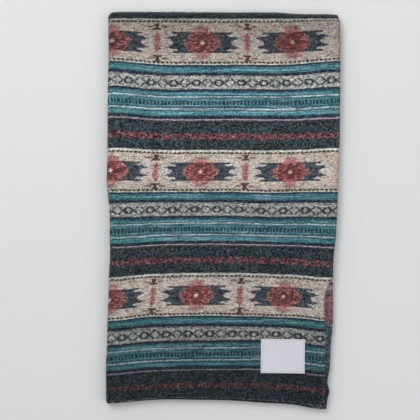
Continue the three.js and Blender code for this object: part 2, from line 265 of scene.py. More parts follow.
# Section across the folded cloth. across runs from 0 at the left fold to 1 at the right side.
def section():
    names = "panel across aside height nx nh edge front back turn_s".split()
    rows = []

    def add(*row):
        rows.append(row)

    def reach(a, b, t):
        return mix(HEM_REACH[a], HEM_REACH[b], t), mix(BACK_HEM_REACH[a], BACK_HEM_REACH[b], t)

    def side_fold(panel, after, across, side, radius, middle):
        for t in np.linspace(0, 1, STEPS["side_fold"] + 1):
            turn = math.pi * t
            nx, nh = side * math.sin(turn), -side * math.cos(turn)
            at = across, radius * nx, middle + radius * nh, nx, nh
            add(panel, *at, EDGE_ROUND, *reach(panel, after, t), radius * turn)

    for edge in EDGE_STEPS:
        add("top", 1, -edge, TOP_HEIGHT, 0, 1, edge, *reach("top", "top", 0), 0)
    for across in 1 - ease(STEPS["top"])[1:-1]:
        add("top", across, 0, TOP_HEIGHT, 0, 1, EDGE_ROUND, *reach("top", "left", max(0, 1 - across * 4)), 0)
    side_fold("left", "base", 0, -1, LEFT_FOLD_RADIUS, TUCK_HEIGHT)
    for across in ease(STEPS["base"])[1:-1]:
        add("base", across, 0, BASE_HEIGHT, 0, -1, EDGE_ROUND, *reach("base", "right", across), 0)
    side_fold("right", "right", 1, 1, RIGHT_FOLD_RADIUS, BASE_HEIGHT + RIGHT_FOLD_RADIUS)
    for across in mix(1, TUCK_SHORT_OF_FOLD, ease(STEPS["tuck"]))[1:-1]:
        add("tuck", across, 0, TUCK_HEIGHT, 0, 1, EDGE_ROUND, *reach("right", "tuck", 1 - across), 0)
    for edge in EDGE_STEPS[::-1]:
        add("tuck", TUCK_SHORT_OF_FOLD, edge, TUCK_HEIGHT, 0, 1, edge, *reach("tuck", "tuck", 0), 0)
    return {name: np.array(column) for name, column in zip(names, zip(*rows))}


# Steps along the cloth from the front hem over the top fold to the back hem
def lengths():
    rows = [(-1, 1, edge) for edge in EDGE_STEPS]
    rows += [(-1, part, EDGE_ROUND) for part in 1 - ease(STEPS["front"], 0.4)[1:-1]]
    rows += [(0, part, EDGE_ROUND) for part in np.linspace(-1, 1, STEPS["top_fold"] + 1)]
    rows += [(1, part, EDGE_ROUND) for part in ease(STEPS["back"])[1:-1]]
    rows += [(1, 1, edge) for edge in EDGE_STEPS[::-1]]
    half, part, edge = (np.array(column, float) for column in zip(*rows))
    return {"half": half, "part": part, "edge": edge}


def cloth_distance(step, st):
    """Distance from the crest for every step (rows) and station (columns), negative in front."""
    half, part, edge = (step[k][:, None] for k in ("half", "part", "edge"))
    hem = np.where(half < 0, FRONT_LENGTH + st["front"][None], BACK_LENGTH + st["back"][None])
    inset = np.where((edge < EDGE_ROUND) | (part == 1), edge, 0)
    flat = mix(TURN_CLOTH, hem, part) - inset
    return np.where(half == 0, part * TURN_CLOTH, np.where(half < 0, -flat, flat))


def drop_at(down, across):
    def at_side(left, right):
        return np.where(across < 0, read(DROPS, "down", left, down), read(DROPS, "down", right, down))

    share = read(THREAD_BEND, "out", "share", np.abs(across))
    sag = np.exp(-(((np.abs(across) - SAG_AT) / SAG_WIDE) ** 2))
    side, half = at_side("left_lower", "right_lower"), at_side("half_left", "half_right")
    return read(DROPS, "down", "middle", down) + side * share + half * sag


def swell_at(x, y):
    rise = 0
    for i in range(len(SWELLS["x"])):
        sx, sy, wide, long, up = (SWELLS[k][i] for k in ("x", "y", "half_wide", "half_long", "rise"))
        rise = rise + up * np.exp(-(((x - sx) / wide) ** 2) - ((y - sy) / long) ** 2)
    return rise


def across_to_x(st, distance):
    down = np.abs(distance)
    back = distance > 0
    shift_left = np.where(back, read(BACK_OFFSETS, "down", "left", down), 0)
    shift_right = np.where(back, read(BACK_OFFSETS, "down", "right", down), 0)
    left = read(SIDES, "down", "left", down) + shift_left + LEFT_FOLD_RADIUS + CLOTH_THICK / 2
    fold_out = RIGHT_FOLD_RADIUS + CLOTH_THICK / 2
    top_right = read(SIDES, "down", "right", down) + shift_right
    base_right = read(SIDES, "down", "base_right", down) + shift_right - fold_out
    top = (st["panel"] == "top")[None]
    return mix(left, np.where(top, top_right, base_right), st["across"][None]) + st["aside"][None]


def place(x, height, distance):
    """The place of points of the folded cloth, with their height above the inner face of their half."""
    down = np.abs(distance)
    left, right = read(SIDES, "down", "left", down), read(SIDES, "down", "base_right", down)
    across = np.clip(2 * (x - left) / (right - left) - 1, -1.03, 1.03)
    radius = INNER_TURN + height
    low = read(TOP_EDGE, "across", "low", across)
    turn = np.clip(distance / TURN_CLOTH, -1, 1) * (math.pi / 2)
    fade = np.exp(-np.maximum(down - TURN_CLOTH, 0) / 60)
    in_turn = down <= TURN_CLOTH
    y_turn = TOP_EDGE_Y - low + radius * np.cos(turn) - OUTER_TURN
    y_flat = TOP_EDGE_Y - low * fade + drop_at(TURN_CLOTH, across) - OUTER_TURN - drop_at(down, across)
    y = np.where(in_turn, y_turn, y_flat)
    z = FOLD_AXIS_HEIGHT - radius * np.sin(turn)
    return np.stack([x + 0 * y, y, z * (1 + swell_at(x, y) / STACK_THICK)], -1)


def half_thick(side_edge, hem_edge):
    def bulge(edge):
        return np.sqrt(1 - ((EDGE_ROUND - edge) / EDGE_ROUND) ** 2 * 0.85)

    return CLOTH_THICK / 2 * np.minimum(bulge(side_edge), bulge(hem_edge))


def pattern_at(st, distance):
    """Pattern coordinates of stations: cells from the free side edge, and rows down from the crest."""
    down = np.abs(distance)
    free, fold = read(PANEL_SPAN, "down", "free", down), read(PANEL_SPAN, "down", "fold", down)
    left_turn, right_turn = math.pi * LEFT_FOLD_RADIUS, math.pi * RIGHT_FOLD_RADIUS
    across, turn_s = st["across"][None], st["turn_s"][None]
    inset = np.where(st["edge"] < EDGE_ROUND, st["edge"], EDGE_ROUND)[None]
    tuck_inset = inset * (across == TUCK_SHORT_OF_FOLD)
    starts = {
        "top": mix(fold, free, across) + np.where(across == 1, inset, 0),
        "left": fold + turn_s,
        "base": fold + left_turn + BASE_SPAN * across,
        "right": fold + left_turn + BASE_SPAN + turn_s,
        "tuck": fold + left_turn + right_turn + BASE_SPAN * (2 - across) - tuck_inset,
    }
    s = np.select([(st["panel"] == k)[None] & (down >= 0) for k in starts], list(starts.values()))
    shift = TURN_CLOTH - math.pi / 2 * (INNER_TURN + st["height"][None])
    v = np.where(down < TURN_CLOTH, down * (1 - shift / TURN_CLOTH), down - shift)
    # The crest of the top fold runs a little across the threads
    left, right = read(SIDES, "down", "left", down), read(SIDES, "down", "base_right", down)
    out = np.clip(2 * (across_to_x(st, distance) - left) / (right - left) - 1, -1.03, 1.03)
    skew = (read(TOP_EDGE, "across", "low", out) - 1.6) * np.exp(-np.maximum(down - TURN_CLOTH, 0) / 45)
    past_base = (st["panel"] == "right") | (st["panel"] == "tuck")
    lag = np.select([st["panel"] == "base", past_base], [st["across"], 1.0], 0.0)
    skew = skew - UNDER_LAG * lag[None] * np.clip(down / 400, 0, 1)
    return np.stack([s, np.where(distance > 0, -v, v) + skew], -1)


def smooth_field(x, y, seed, lengths_mm, rise):
    """A sum of soft waves, as uneven as hand-folded wool."""
    rng = np.random.default_rng(seed)
    total = 0
    for length in lengths_mm:
        for _ in range(7):
            angle, phase = rng.uniform(0, 2 * np.pi, 2)
            k = 2 * np.pi / (length * rng.uniform(0.7, 1.4))
            total = total + np.sin(k * (x * np.cos(angle) + y * np.sin(angle)) + phase)
    return total * rise / (math.sqrt(3.5 * len(lengths_mm)))


# Meshes

def mesh_object(name, points, faces, uvs, material):
    """points in mm. faces is an n x k index array. uvs maps a name to an n x k x 2 array."""
    me = bpy.data.meshes.new(name)
    n, k = faces.shape
    me.vertices.add(len(points))
    me.vertices.foreach_set("co", (np.asarray(points) * MM).astype(np.float32).ravel())
    me.loops.add(n * k)
    me.loops.foreach_set("vertex_index", faces.astype(np.int32).ravel())
    me.polygons.add(n)
    me.polygons.foreach_set("loop_start", np.arange(0, n * k, k, dtype=np.int32))
    me.polygons.foreach_set("loop_total", np.full(n, k, dtype=np.int32))
    for uv_name, values in uvs.items():
        layer = me.uv_layers.new(name=uv_name)
        layer.data.foreach_set("uv", np.asarray(values, np.float32).ravel())
    me.update(calc_edges=True)
    me.validate()
    me.polygons.foreach_set("use_smooth", np.ones(n, bool))
    me.materials.append(material)
    obj = bpy.data.objects.new(name, me)
    bpy.context.scene.collection.objects.link(obj)
    return obj


def cells(count, wide):
    """Column and row of each of a count of cells."""
    return np.stack([np.arange(count) % wide, np.arange(count) // wide], -1)


def grid_quads(rows, columns, start=0):
    r, c = np.meshgrid(np.arange(rows - 1), np.arange(columns - 1), indexing="ij")
    a = start + r * columns + c
    return np.stack([a, a + columns, a + columns + 1, a + 1], -1).reshape(-1, 4)


stations = section()
steps_down = lengths()
distance = cloth_distance(steps_down, stations)
pattern = pattern_at(stations, distance)


def cloth_surface(side):
    """The outward (1) or inward (-1) face of the cloth, as a grid of points in mm."""
    half = half_thick(stations["edge"][None], steps_down["edge"][:, None]) * side
    x = across_to_x(stations, distance) + stations["nx"][None] * half
    height = stations["height"][None] + stations["nh"][None] * half
    return place(x, height, distance)


def grid_normals(points):
    down = np.gradient(points, axis=0)
    across = np.gradient(points, axis=1)
    normal = np.cross(down, across)
    return normal / np.maximum(np.linalg.norm(normal, axis=-1, keepdims=True), 1e-9)


outer, inner = cloth_surface(1), cloth_surface(-1)
outer_normal = grid_normals(outer)

# Small unevenness of the shown side: soft lumps, and long shallow ripples along the weft
s_mm, v_mm = pattern[..., 0], pattern[..., 1]
lumps = smooth_field(s_mm, v_mm, 3, (14, 24, 45), 0.16)
ripples = smooth_field(s_mm * 0.25, v_mm, 5, (11, 18), 0.1)
is_top = (stations["panel"] == "top")[None] & (steps_down["half"] <= 0)[:, None]
under = np.clip(1 - steps_down["part"] * 2.5, 0, 1) * (steps_down["half"] == 0) + (steps_down["half"] != 0)
side_calm, hem_calm = (np.clip(steps["edge"] / EDGE_ROUND, 0, 1) for steps in (stations, steps_down))
calm = (under * hem_calm)[:, None] * side_calm[None]
outer = outer + outer_normal * ((lumps + ripples) * calm * is_top)[..., None]


def cloth_mesh(material):
    rows, columns = distance.shape
    count = rows * columns
    points = np.concatenate([outer.reshape(-1, 3), inner.reshape(-1, 3)])
    cloth_uv = np.concatenate([pattern.reshape(-1, 2)] * 2) * MM

    def spread(axis, weight):
        """Shares of the layout from 0 to 1 along one way of the grid."""
        gaps = np.linalg.norm(np.diff(outer, axis=axis), axis=-1).mean(1 - axis)
        places = np.concatenate([[0], np.cumsum(np.maximum(gaps, 0.4) * weight)])
        return places / places[-1]

    # The baked layout gives the shown panel most of the space
    wide = {"top": 1.0, "left": 1.3, "base": 0.25, "right": 1.0, "tuck": 0.22}
    across = spread(1, np.array([wide[p] for p in stations["panel"][1:]]))
    down = spread(0, np.where(steps_down["half"][1:] > 0, 0.3, 1.0))
    lay = np.stack(np.broadcast_arrays(across[None], down[:, None]), -1).reshape(-1, 2)
    lay = np.concatenate([lay * (0.83, 0.96) + (0.01, 0.01), lay * (0.14, 0.96) + (0.85, 0.01)])
    faces = [grid_quads(rows, columns), grid_quads(rows, columns, count)[:, ::-1]]
    bake = [lay[quads] for quads in faces]

    # Rims that join the two faces, each with a strip of the layout
    index = np.arange(count).reshape(rows, columns)
    onward, backward = [0, 1, 2, 3], [0, 3, 2, 1]
    rims = [(index[0], onward), (index[-1], backward), (index[:, 0], backward), (index[:, -1], onward)]
    for i, (edge, order) in enumerate(rims):
        a, b = edge[:-1], edge[1:]
        faces.append(np.stack([a, b, b + count, a + count], -1)[:, order])
        along = np.linspace(0.01, 0.98, len(edge))
        low = np.full(len(a), 0.9765 + 0.005 * i)
        high = low + 0.0035
        strip = np.array([(along[:-1], low), (along[1:], low), (along[1:], high), (along[:-1], high)])
        bake.append(strip.transpose(2, 0, 1)[:, order])
    faces = np.concatenate(faces)
    uvs = {"cloth": cloth_uv[faces], "OFBake": np.concatenate(bake)}
    return mesh_object("cloth", points, faces, uvs, material)


# Materials

def linear(*srgb):
    """An sRGB colour in 0 to 255, as a linear one with full alpha."""
    c = np.array(srgb, float) / 255
    return (*np.where(c <= 0.04045, c / 12.92, ((c + 0.055) / 1.055) ** 2.4), 1.0)


def feed(tree, item, slot):
    """Link a value or a socket to a node's input, or set the input to a number or colour."""
    item = item.socket if isinstance(item, Value) else item
    if isinstance(item, bpy.types.NodeSocket):
        tree.links.new(item, slot)
    else:
        slot.default_value = item


class Value:
    """A number in a node tree, with arithmetic that adds Math nodes."""

    def __init__(self, tree, socket):
        self.tree, self.socket = tree, socket

    def math(self, operation, *others, clamp=False):
        node = self.tree.nodes.new("ShaderNodeMath")
        node.operation, node.use_clamp = operation, clamp
        for slot, item in zip(node.inputs, (self,) + others):
            feed(self.tree, item, slot)
        return Value(self.tree, node.outputs[0])

    __add__ = __radd__ = partialmethod(math, "ADD")
    __mul__ = __rmul__ = partialmethod(math, "MULTIPLY")
    __sub__ = partialmethod(math, "SUBTRACT")
    __truediv__ = partialmethod(math, "DIVIDE")
    __gt__ = partialmethod(math, "GREATER_THAN")
    __lt__ = partialmethod(math, "LESS_THAN")
    floor = partialmethod(math, "FLOOR")
    fraction = partialmethod(math, "FRACT")
    abs = partialmethod(math, "ABSOLUTE")
    wrap = partialmethod(math, "FLOORED_MODULO")

    def between(self, low, high):
        return (self > low) * (self < high)


class Shade:
    """A node tree with short ways to add what a woven pattern needs."""

    def __init__(self, name):
        self.material = bpy.data.materials.new(name)
        self.material.use_nodes = True
        self.tree = self.material.node_tree
        self.surface = self.tree.nodes["Principled BSDF"]

    def node(self, kind):
        return self.tree.nodes.new("ShaderNode" + kind)

    def feed(self, item, slot):
        feed(self.tree, item, slot)

    def finish(self, **inputs):
        """Set or link inputs of the surface, named with low lines for spaces."""
        for name, item in inputs.items():
            self.feed(item, self.surface.inputs[name.replace("_", " ")])

    def bump(self, height, strength, distance):
        node = self.node("Bump")
        for name, item in (("Height", height), ("Strength", strength), ("Distance", distance)):
            self.feed(item, node.inputs[name])
        return node.outputs[0]

    def value(self, socket):
        return Value(self.tree, socket)

    def uv(self, name, scale):
        node = self.node("UVMap")
        node.uv_map = name
        split = self.node("SeparateXYZ")
        self.feed(node.outputs[0], split.inputs[0])
        return [self.value(split.outputs[i]) * scale[i] for i in range(2)]

    def point(self, x, y, z):
        node = self.node("CombineXYZ")
        for slot, item in zip(node.inputs, (x, y, z)):
            self.feed(item, slot)
        return node.outputs[0]

    def noise(self, x, y, z, detail=1.0):
        node = self.node("TexNoise")
        for name, item in (("Vector", self.point(x, y, z)), ("Scale", 1.0), ("Detail", detail)):
            self.feed(item, node.inputs[name])
        return self.value(node.outputs["Fac"])

    def wave(self, x, y, z, size, detail=1.0):
        """A number that wanders about zero."""
        return (self.noise(x, y, z, detail) - 0.5) * size

    def speckle(self, x, y, z, colour=False):
        node = self.node("TexWhiteNoise")
        node.noise_dimensions = "3D"
        self.feed(self.point(x, y, z), node.inputs["Vector"])
        return node.outputs["Color"] if colour else self.value(node.outputs["Value"])

    def multiply(self, a, b):
        node = self.node("VectorMath")
        node.operation = "MULTIPLY"
        self.feed(a, node.inputs[0])
        self.feed(b, node.inputs[1])
        return node.outputs[0]

    def steps(self, at, size, rows):
        """A lookup of colours, with rows of (start, colour) over 0 to size."""
        node = self.node("ValToRGB")
        ramp = node.color_ramp
        ramp.interpolation = "CONSTANT"
        while len(ramp.elements) < len(rows):
            ramp.elements.new(0.5)
        for element, (start, colour) in zip(ramp.elements, rows):
            element.position = start / size
            element.color = colour
        self.feed(at * (1 / size), node.inputs[0])
        return node.outputs[0], node.outputs[1]

    def curve(self, at, size, rows, top=2.0):
        """A smooth lookup of one number, with rows of (place, number) over 0 to size."""
        colour, _ = self.steps(at, size, [(place, (value / top,) * 3 + (1.0,)) for place, value in rows])
        colour.node.color_ramp.interpolation = "LINEAR"
        split = self.node("SeparateColor")
        self.feed(colour, split.inputs[0])
        return self.value(split.outputs[0]) * top

    def lookup(self, at, size, rows, top=64.0):
        """Four numbers read by one step. Rows are (start, a, b, c, d), and the last zeros may be left out."""
        filled = [row[1:] + (0,) * (5 - len(row)) for row in rows]
        scaled = [tuple(number / top for number in numbers) for numbers in filled]
        colour, alpha = self.steps(at, size, [(row[0], numbers) for row, numbers in zip(rows, scaled)])
        split = self.node("SeparateColor")
        self.feed(colour, split.inputs[0])
        return [self.value(o) * top for o in split.outputs] + [self.value(alpha) * top]

    def blend(self, amount, a, b, mode="MIX"):
        node = self.node("Mix")
        node.data_type, node.blend_type = "RGBA", mode
        for slot, item in zip((node.inputs["Factor"], node.inputs[6], node.inputs[7]), (amount, a, b)):
            self.feed(item, slot)
        return node.outputs[2]


# Yarn colours, in sRGB as they look in even light, and the tones of painted shade on the under panel's side
# fold and of painted highlight on the hem
YARN_AND_PAINTED_LIGHT = {name: linear(*rgb) for name, *rgb in (
    ("pale", 206, 204, 194), ("cream", 190, 177, 165), ("black", 30, 27, 24), ("deep", 20, 52, 66),
    ("teal", 50, 104, 116), ("light", 84, 148, 158), ("shade", 34, 78, 90), ("navy", 18, 36, 54),
    ("dull", 118, 120, 120), ("grey", 164, 167, 165), ("frost", 190, 210, 214), ("mist", 112, 150, 156),
    ("block", 8, 52, 64), ("rose", 178, 164, 172), ("plum", 74, 66, 76), ("coal", 26, 32, 34),
    ("slate", 33, 43, 49), ("blue", 36, 48, 60), ("moss", 34, 46, 43), ("red", 142, 80, 78),
    ("pink", 186, 126, 118), ("maroon", 86, 42, 40), ("cap", 74, 40, 36), ("claw", 66, 70, 78),
    ("rust", 158, 92, 90), ("lilac", 192, 188, 192), ("heart", 214, 196, 190), ("fold_shade_red", 108, 64, 74),
    ("fold_pale", 142, 122, 126), ("fold_shade_blue", 34, 56, 68), ("dusk", 106, 50, 61), ("tan", 160, 116, 110),
    ("lint", 128, 150, 160), ("lint_warm", 150, 142, 130), ("ring", 14, 22, 20), ("sea", 46, 112, 104),
    ("rim", 126, 112, 98),
)}

# Ground colour by row in one repeat
ROWS_FIRST = [
    (0, "pale"), (2, "cream"), (43, "pale"), (44, "deep"), (46, "teal"), (48, "light"),
    (50, "teal"), (52, "navy"), (55, "dull"), (57, "grey"),
]
ROWS_SECOND = [
    (64, "grey"), (68, "dull"), (69, "navy"), (71, "shade"), (72, "teal"), (73, "light"), (75, "deep"),
    (76, "frost"), (77, "mist"), (78, "shade"), (79, "light"), (80, "shade"), (81, "teal"), (85, "light"),
    (86, "teal"), (87, "deep"), (88, "frost"), (89, "mist"), (90, "deep"), (91, "light"), (94, "teal"),
    (95, "navy"), (98, "rose"), (99, "plum"), (100, "coal"), (102, "slate"), (103, "blue"), (109, "slate"),
]

# Medallion, in half widths by rows from its middle: red, claw tip, dark from, dark to
MEDALLION = [
    (0, 17, 29, 2.5, 6), (1, 18, 29.5, 2, 12), (2, 17.5, 31.5, 2.5, 5.5), (3, 17, 34.5, 0, 2),
    (4, 15, 36.5, 0, 2.6), (5, 14.5, 33, 0, 5), (6, 13.5, 26, 0, 2.4), (7, 13, 24.5, 0, 1.6),
    (8, 11.5, 29.5, 7, 14), (9, 10.5, 31, 8, 15), (10, 9), (11, 7.5), (13, 8), (14, 7.5),
    (15, 4.5), (16, 0),
]
# Column between medallions: body, bar, dash from, dash to
COLUMN = [
    (0, 2.2), (1, 2.8), (2, 3.7), (4, 2.6), (5, 3.4), (7, 2.8), (8, 1.8), (9, 0), (12, 0, 4.6),
    (13, 0, 3.8), (14, 0, 1.7, 4, 9.5), (15, 0, 2, 4, 10.5), (16, 0, 2.4), (17, 0, 3.4), (18, 0),
]
# Chain band: ring inside, ring outside, arm inside, arm outside
CHAIN = [
    (0, 2.3, 5.2, 5.2, 7.2), (1, 1.9, 5.1, 5.6, 8.2), (2, 0.4, 4.5, 6.6, 9.4), (3, 0, 3.2, 7.8, 10.4),
    (4, 0, 0, 8.9, 10.6), (5, 0),
]
# Painted light and shade along the cloth, darker over the crest and towards the hem: rows from the crest,
# share of the painted colour
PAINTED_LIGHT_ROWS = [
    (0, 0.3), (6, 0.36), (12, 0.61), (30, 0.7), (44, 0.8), (54, 0.98), (106, 1.0), (140, 1.05), (168, 1.1),
    (182, 0.86), (232, 0.76), (262, 0.76), (272, 0.92), (302, 0.9), (312, 0.64), (350, 0.53), (362, 0.42),
    (394, 0.44),
]
# The share of red alone along the cloth, lower towards the hem, and half as much for green
RED_SHARE_ROWS = [(0, 0.98), (356, 0.98), (364, 0.8), (394, 0.8)]


class Weave(Shade):
    """The woven cloth: its thread coordinates, its noises and the colour painted so far."""

    def __init__(self):
        super().__init__("woven_wool")
        s, v = self.uv("cloth", (1 / (CELL * MM), 1 / (ROW * MM)))
        self.thread = (s * (2 * math.pi)).math("SINE") * (v * (2 * math.pi)).math("SINE")
        self.felt = self.noise(s * 0.9, v * 0.9, 6.2, detail=4.0)

        # Felted yarns have no sharp edges: every crossing frays into the next ones
        self.fuzz = self.noise(s * 2.6, v * 5.2, 71.3, detail=3.0)
        fuzz2 = self.noise(s * 4.4, v * 3.2, 83.9, detail=3.0)
        s = self.s = s + (self.fuzz - 0.5) * 1.7
        v = self.v = v + (fuzz2 - 0.5) * 1.3

        # Hand-woven wander of the lines, and the thread grid
        wander = self.wave(s * 0.022, v * 0.03, 1.3, 1.4) + self.wave(s * 0.13, v * 0.2, 4.1, 1.1)
        self.row = (v - FIRST_ROW_AT / ROW + wander).math("MINIMUM", LAST_ROW).wrap(REPEAT).floor()
        cell, weft = self.cell, self.weft = s.floor(), v.floor()
        self.grain = self.speckle(cell, weft, 0.5)
        self.grain2 = self.speckle(cell, weft, 7.5)
        self.streak = self.noise(s * 0.16, v * 1.7, 2.7, detail=2.0)
        self.streak2 = self.noise(s * 0.4, v * 1.3, 9.7, detail=2.0)
        self.blotch = self.noise(s * 0.46, v * 0.5, 41.3)
        self.patch = self.noise(s * 0.07, v * 0.16, 51.3, detail=2.0)
        self.dark_streak = self.noise(s * 0.2, weft * 0.93, 13.1)
        self.pale_streak = self.noise(s * 0.24, weft * 0.89, 17.9)

        half = REPEAT // 2
        first, _ = self.steps(self.row + 0.5, half, [(r, YARN_AND_PAINTED_LIGHT[c]) for r, c in ROWS_FIRST])
        second, _ = self.steps(self.row - (half - 0.5), half, [(r - half, YARN_AND_PAINTED_LIGHT[c]) for r, c in ROWS_SECOND])
        self.colour = self.blend(self.row > half - 0.5, first, second)

    def paint(self, mask, colour_key):
        self.colour = self.blend(mask, self.colour, YARN_AND_PAINTED_LIGHT[colour_key])

    def rows(self, low, high):
        return (self.row + 0.5).between(low, high)

    def repeats(self, pitch, wander_x, wander_y, z, size):
        """How far along its pitch each cell lies, from 0 to 1, with an uneven pitch."""
        return ((self.s + self.wave(self.s * wander_x, self.v * wander_y, z, size)) / pitch).fraction()

    def from_middle(self, pitch, shift=0.0):
        """Cells from the nearest of the middles that follow each other at a pitch."""
        middle = MEDALLION_AT / CELL + shift
        return ((self.s - (middle - pitch / 2)).wrap(pitch) - pitch / 2).abs()


def soft(value, low, high):
    """0 below low, 1 above high."""
    return ((value - low) * (1 / (high - low))).math("ADD", 0.0, clamp=True)


def paint_dyes(w):
    """Dyes shift in patches: blue and mossy in the slate, bluer or greener in the teal."""
    w.in_slate = w.row > 99.5
    w.paint(w.in_slate * soft(w.patch, 0.52, 0.62) * 0.7, "blue")
    w.paint(w.in_slate * soft(w.patch, 0.48, 0.38) * 0.75, "moss")
    w.in_teal = w.rows(44, 98)
    in_light = w.row.between(45.5, 51.5)
    for low, high in ((71.5, 75.5), (77.5, 87.5), (89.5, 94.5)):
        in_light = in_light + w.row.between(low, high)
    long_streak = w.noise(w.s * 0.035, w.weft * 0.87, 61.7)
    w.paint(in_light * soft(long_streak, 0.5, 0.68) * 0.32, "frost")
    w.paint(w.in_teal * soft(long_streak, 0.48, 0.34) * 0.5, "deep")
    edge_on = (w.s - PANEL_MIDDLE_CELL).abs() + (w.patch - 0.5) * 90
    w.paint(in_light * soft(edge_on, 60, 105) * 0.5, "sea")


def paint_dashes(w):
    """Dashes of the tick lines, and blocks on the light teal band."""
    tick = w.repeats(PITCH["tick"], 0.3, 0.05, 8.1, 3.0)
    mask = 0
    for at, share in ((2, 0.56), (3, 0.84), (41, 0.8), (42, 0.6)):
        mask = w.rows(at, at + 1) * (tick < share) + mask
    w.paint(mask * 0.92, "black")
    block = w.repeats(PITCH["block"], 0.12, 0.012, 3.3, 4.0)
    in_blocks = w.rows(81, 85)
    w.paint(in_blocks * (block > 0.66) * (w.grain * 0.3 + 0.3), "light")
    w.paint(in_blocks * (block < 0.66) * (w.grain * 0.2 + 0.8), "block")


def paint_cream_band(w):
    """Medallions with claws at both sides, and columns with caps between them."""
    in_cream = w.row.between(3.5, 40.5)
    # Distances from the middle of the band and of the motifs, with frayed edges
    k = ((w.row - MIDDLE_ROW["cream"]).abs() - 0.5).math("ROUND")
    fray = (w.grain - 0.5) * 1.5 + (w.streak2 - 0.5) * 3.0
    near = w.from_middle(PITCH["motif"]) + fray
    flower = near + w.wave(w.s * 0.03, w.weft * 0.91, 15.3, 7.0, detail=0.0)
    # The column next to the free edge of the top panel has worn away
    worn = w.s < WORN_CELLS
    side = w.from_middle(PITCH["motif"], PITCH["motif"] / 2) + fray * 0.6 + worn * 40.0

    body, bar, dash_from, dash_to = w.lookup(k + 0.5, 32, COLUMN)
    streaky = (w.pale_streak * 2.4 - 0.2).math("MINIMUM", 0.9)
    w.paint(in_cream * soft(body - side, -0.6, 0.8) * streaky, "rust")
    stained = worn * w.v.between(0, EDGE_ROW["stained_to"])
    w.paint(in_cream * stained * soft(w.s + (w.streak2 - 0.5) * 6, 6, 1) * 0.35, "rust")
    w.paint(in_cream * (side < bar) * (w.grain * 0.15 + 0.85), "cap")
    w.paint(in_cream * side.between(dash_from, dash_to) * (w.grain2 * 0.35 + 0.5), "cap")

    red, claw, dark_from, dark_to = w.lookup(k + 0.5, 32, MEDALLION)
    in_body = in_cream * (k < 9.5)
    w.paint(in_body * near.between(claw, claw + 5.0) * 0.4, "lilac")
    w.in_claw = in_cream * (near < claw) * (flower > red)
    w.paint(w.in_claw, "claw")
    w.paint(w.in_claw * soft(w.patch, 0.5, 0.6) * 0.7, "blue")
    w.paint(w.in_claw * soft(w.patch, 0.48, 0.4) * 0.7, "moss")
    in_flower = soft(red - flower, -1.5, 2.5)
    w.paint(in_body * in_flower, "red")
    w.paint(in_cream * in_flower * (k > 9.5) * (w.grain2 * 0.3 + 0.5), "red")
    w.paint(in_cream * in_flower * k.between(9.5, 12.5) * soft(w.pale_streak, 0.34, 0.5) * 0.8, "pink")
    w.paint(in_body * in_flower * soft(w.pale_streak, 0.5, 0.62) * 0.85, "pink")
    w.paint(in_body * in_flower * soft(w.dark_streak, 0.49, 0.56) * 0.9, "maroon")
    w.paint(in_body * near.between(dark_from, dark_to) * (w.grain * 0.4 + 0.5), "maroon")
    w.paint(in_cream * (near + k * 1.3 < 2.0) * 0.9, "heart")


def paint_chain(w):
    """Chain of rings and arms."""
    from_ring = w.from_middle(PITCH["ring"], 6) + (w.grain - 0.5) * 1.3
    ring_in, ring_out, arm_in, arm_out = w.lookup((w.row - MIDDLE_ROW["chain"]).abs() + 0.5, 8, CHAIN)
    in_chain = w.rows(55, 69)
    w.paint(in_chain * soft(w.pale_streak, 0.46, 0.56) * 0.85, "pale")
    w.paint(in_chain * soft(w.dark_streak, 0.5, 0.64) * 0.5, "dull")
    w.paint(in_chain * from_ring.between(ring_in, ring_out) * (w.grain2 * 0.25 + 0.8), "ring")
    w.paint(in_chain * from_ring.between(arm_in, arm_out) * soft(w.blotch, 0.28, 0.44) * 0.92, "ring")


def paint_red_row(w):
    """Row of small red diamonds."""
    across = w.from_middle(PITCH["diamond"], 2.3) / 5.6
    rise = (w.row - MIDDLE_ROW["red"]).abs() / 3.6
    diamond = across + rise + (w.grain - 0.5) * 0.5 + (w.pale_streak - 0.5)
    in_reds = w.rows(110.5, 118)
    w.paint(in_reds * (diamond < 1.4) * (w.grain2 * 0.5 + 0.45), "dusk")
    w.paint(in_reds * soft(w.pale_streak, 0.5, 0.62) * (rise < 0.75) * 0.4, "tan")
    w.paint(in_reds * (across > 0.84) * (rise < 0.4) * 0.6, "coal")
    w.paint(in_reds * soft(w.dark_streak, 0.54, 0.64) * 0.55, "maroon")


def paint_edges(w):
    # The side fold of the under panel, where it turns away from the light, is painted in dusky tones: painted
    # shade of dusky red over its cream band and dark blue over the rows below, mauve over its pale and slate
    # rows, with pale streaks and bare warp threads
    fold_cell = FOLD_AT / CELL
    on_fold = w.s.between(fold_cell - 4, fold_cell + 15)
    w.paint(on_fold * w.rows(4, 39) * 0.9, "fold_shade_red")
    w.paint(on_fold * (w.row > 38.5) * 0.8, "fold_shade_blue")
    w.paint(on_fold * ((w.row > 118.5) + (w.row < 3.5)) * 0.95, "fold_pale")
    w.paint(on_fold * soft(w.pale_streak, 0.5, 0.62) * (w.row < 38.5) * 0.5, "fold_pale")
    w.paint(on_fold * soft(w.pale_streak, 0.5, 0.62) * w.row.between(38.5, 97) * 0.5, "mist")
    warp_line = (w.s - (fold_cell + 5.5) + (w.streak - 0.5) * 1.2).abs() < 0.5
    w.paint(on_fold * warp_line * 0.6, "dull")
    # Bare threads at the free edge
    selvedge = (w.s < 1.0) * (w.v > EDGE_ROW["selvedge_from"])
    w.paint(selvedge * soft(w.blotch, 0.4, 0.56) * 0.55, "dull")
    # Painted highlight along the rounded hem, lightening it where it turns down
    w.paint(soft(w.v, *EDGE_ROW["hem"]) * soft(w.blotch, 0.34, 0.56) * 0.8, "rim")
    # A paler patch near the free corner, in the same tone
    past_corner = w.v - EDGE_ROW["corner_from"]
    corner = soft(w.s - (past_corner - 6) * 0.5, 6, 1) * (past_corner > 0)
    w.paint(corner * soft(w.pale_streak, 0.46, 0.56) * 0.45, "rim")


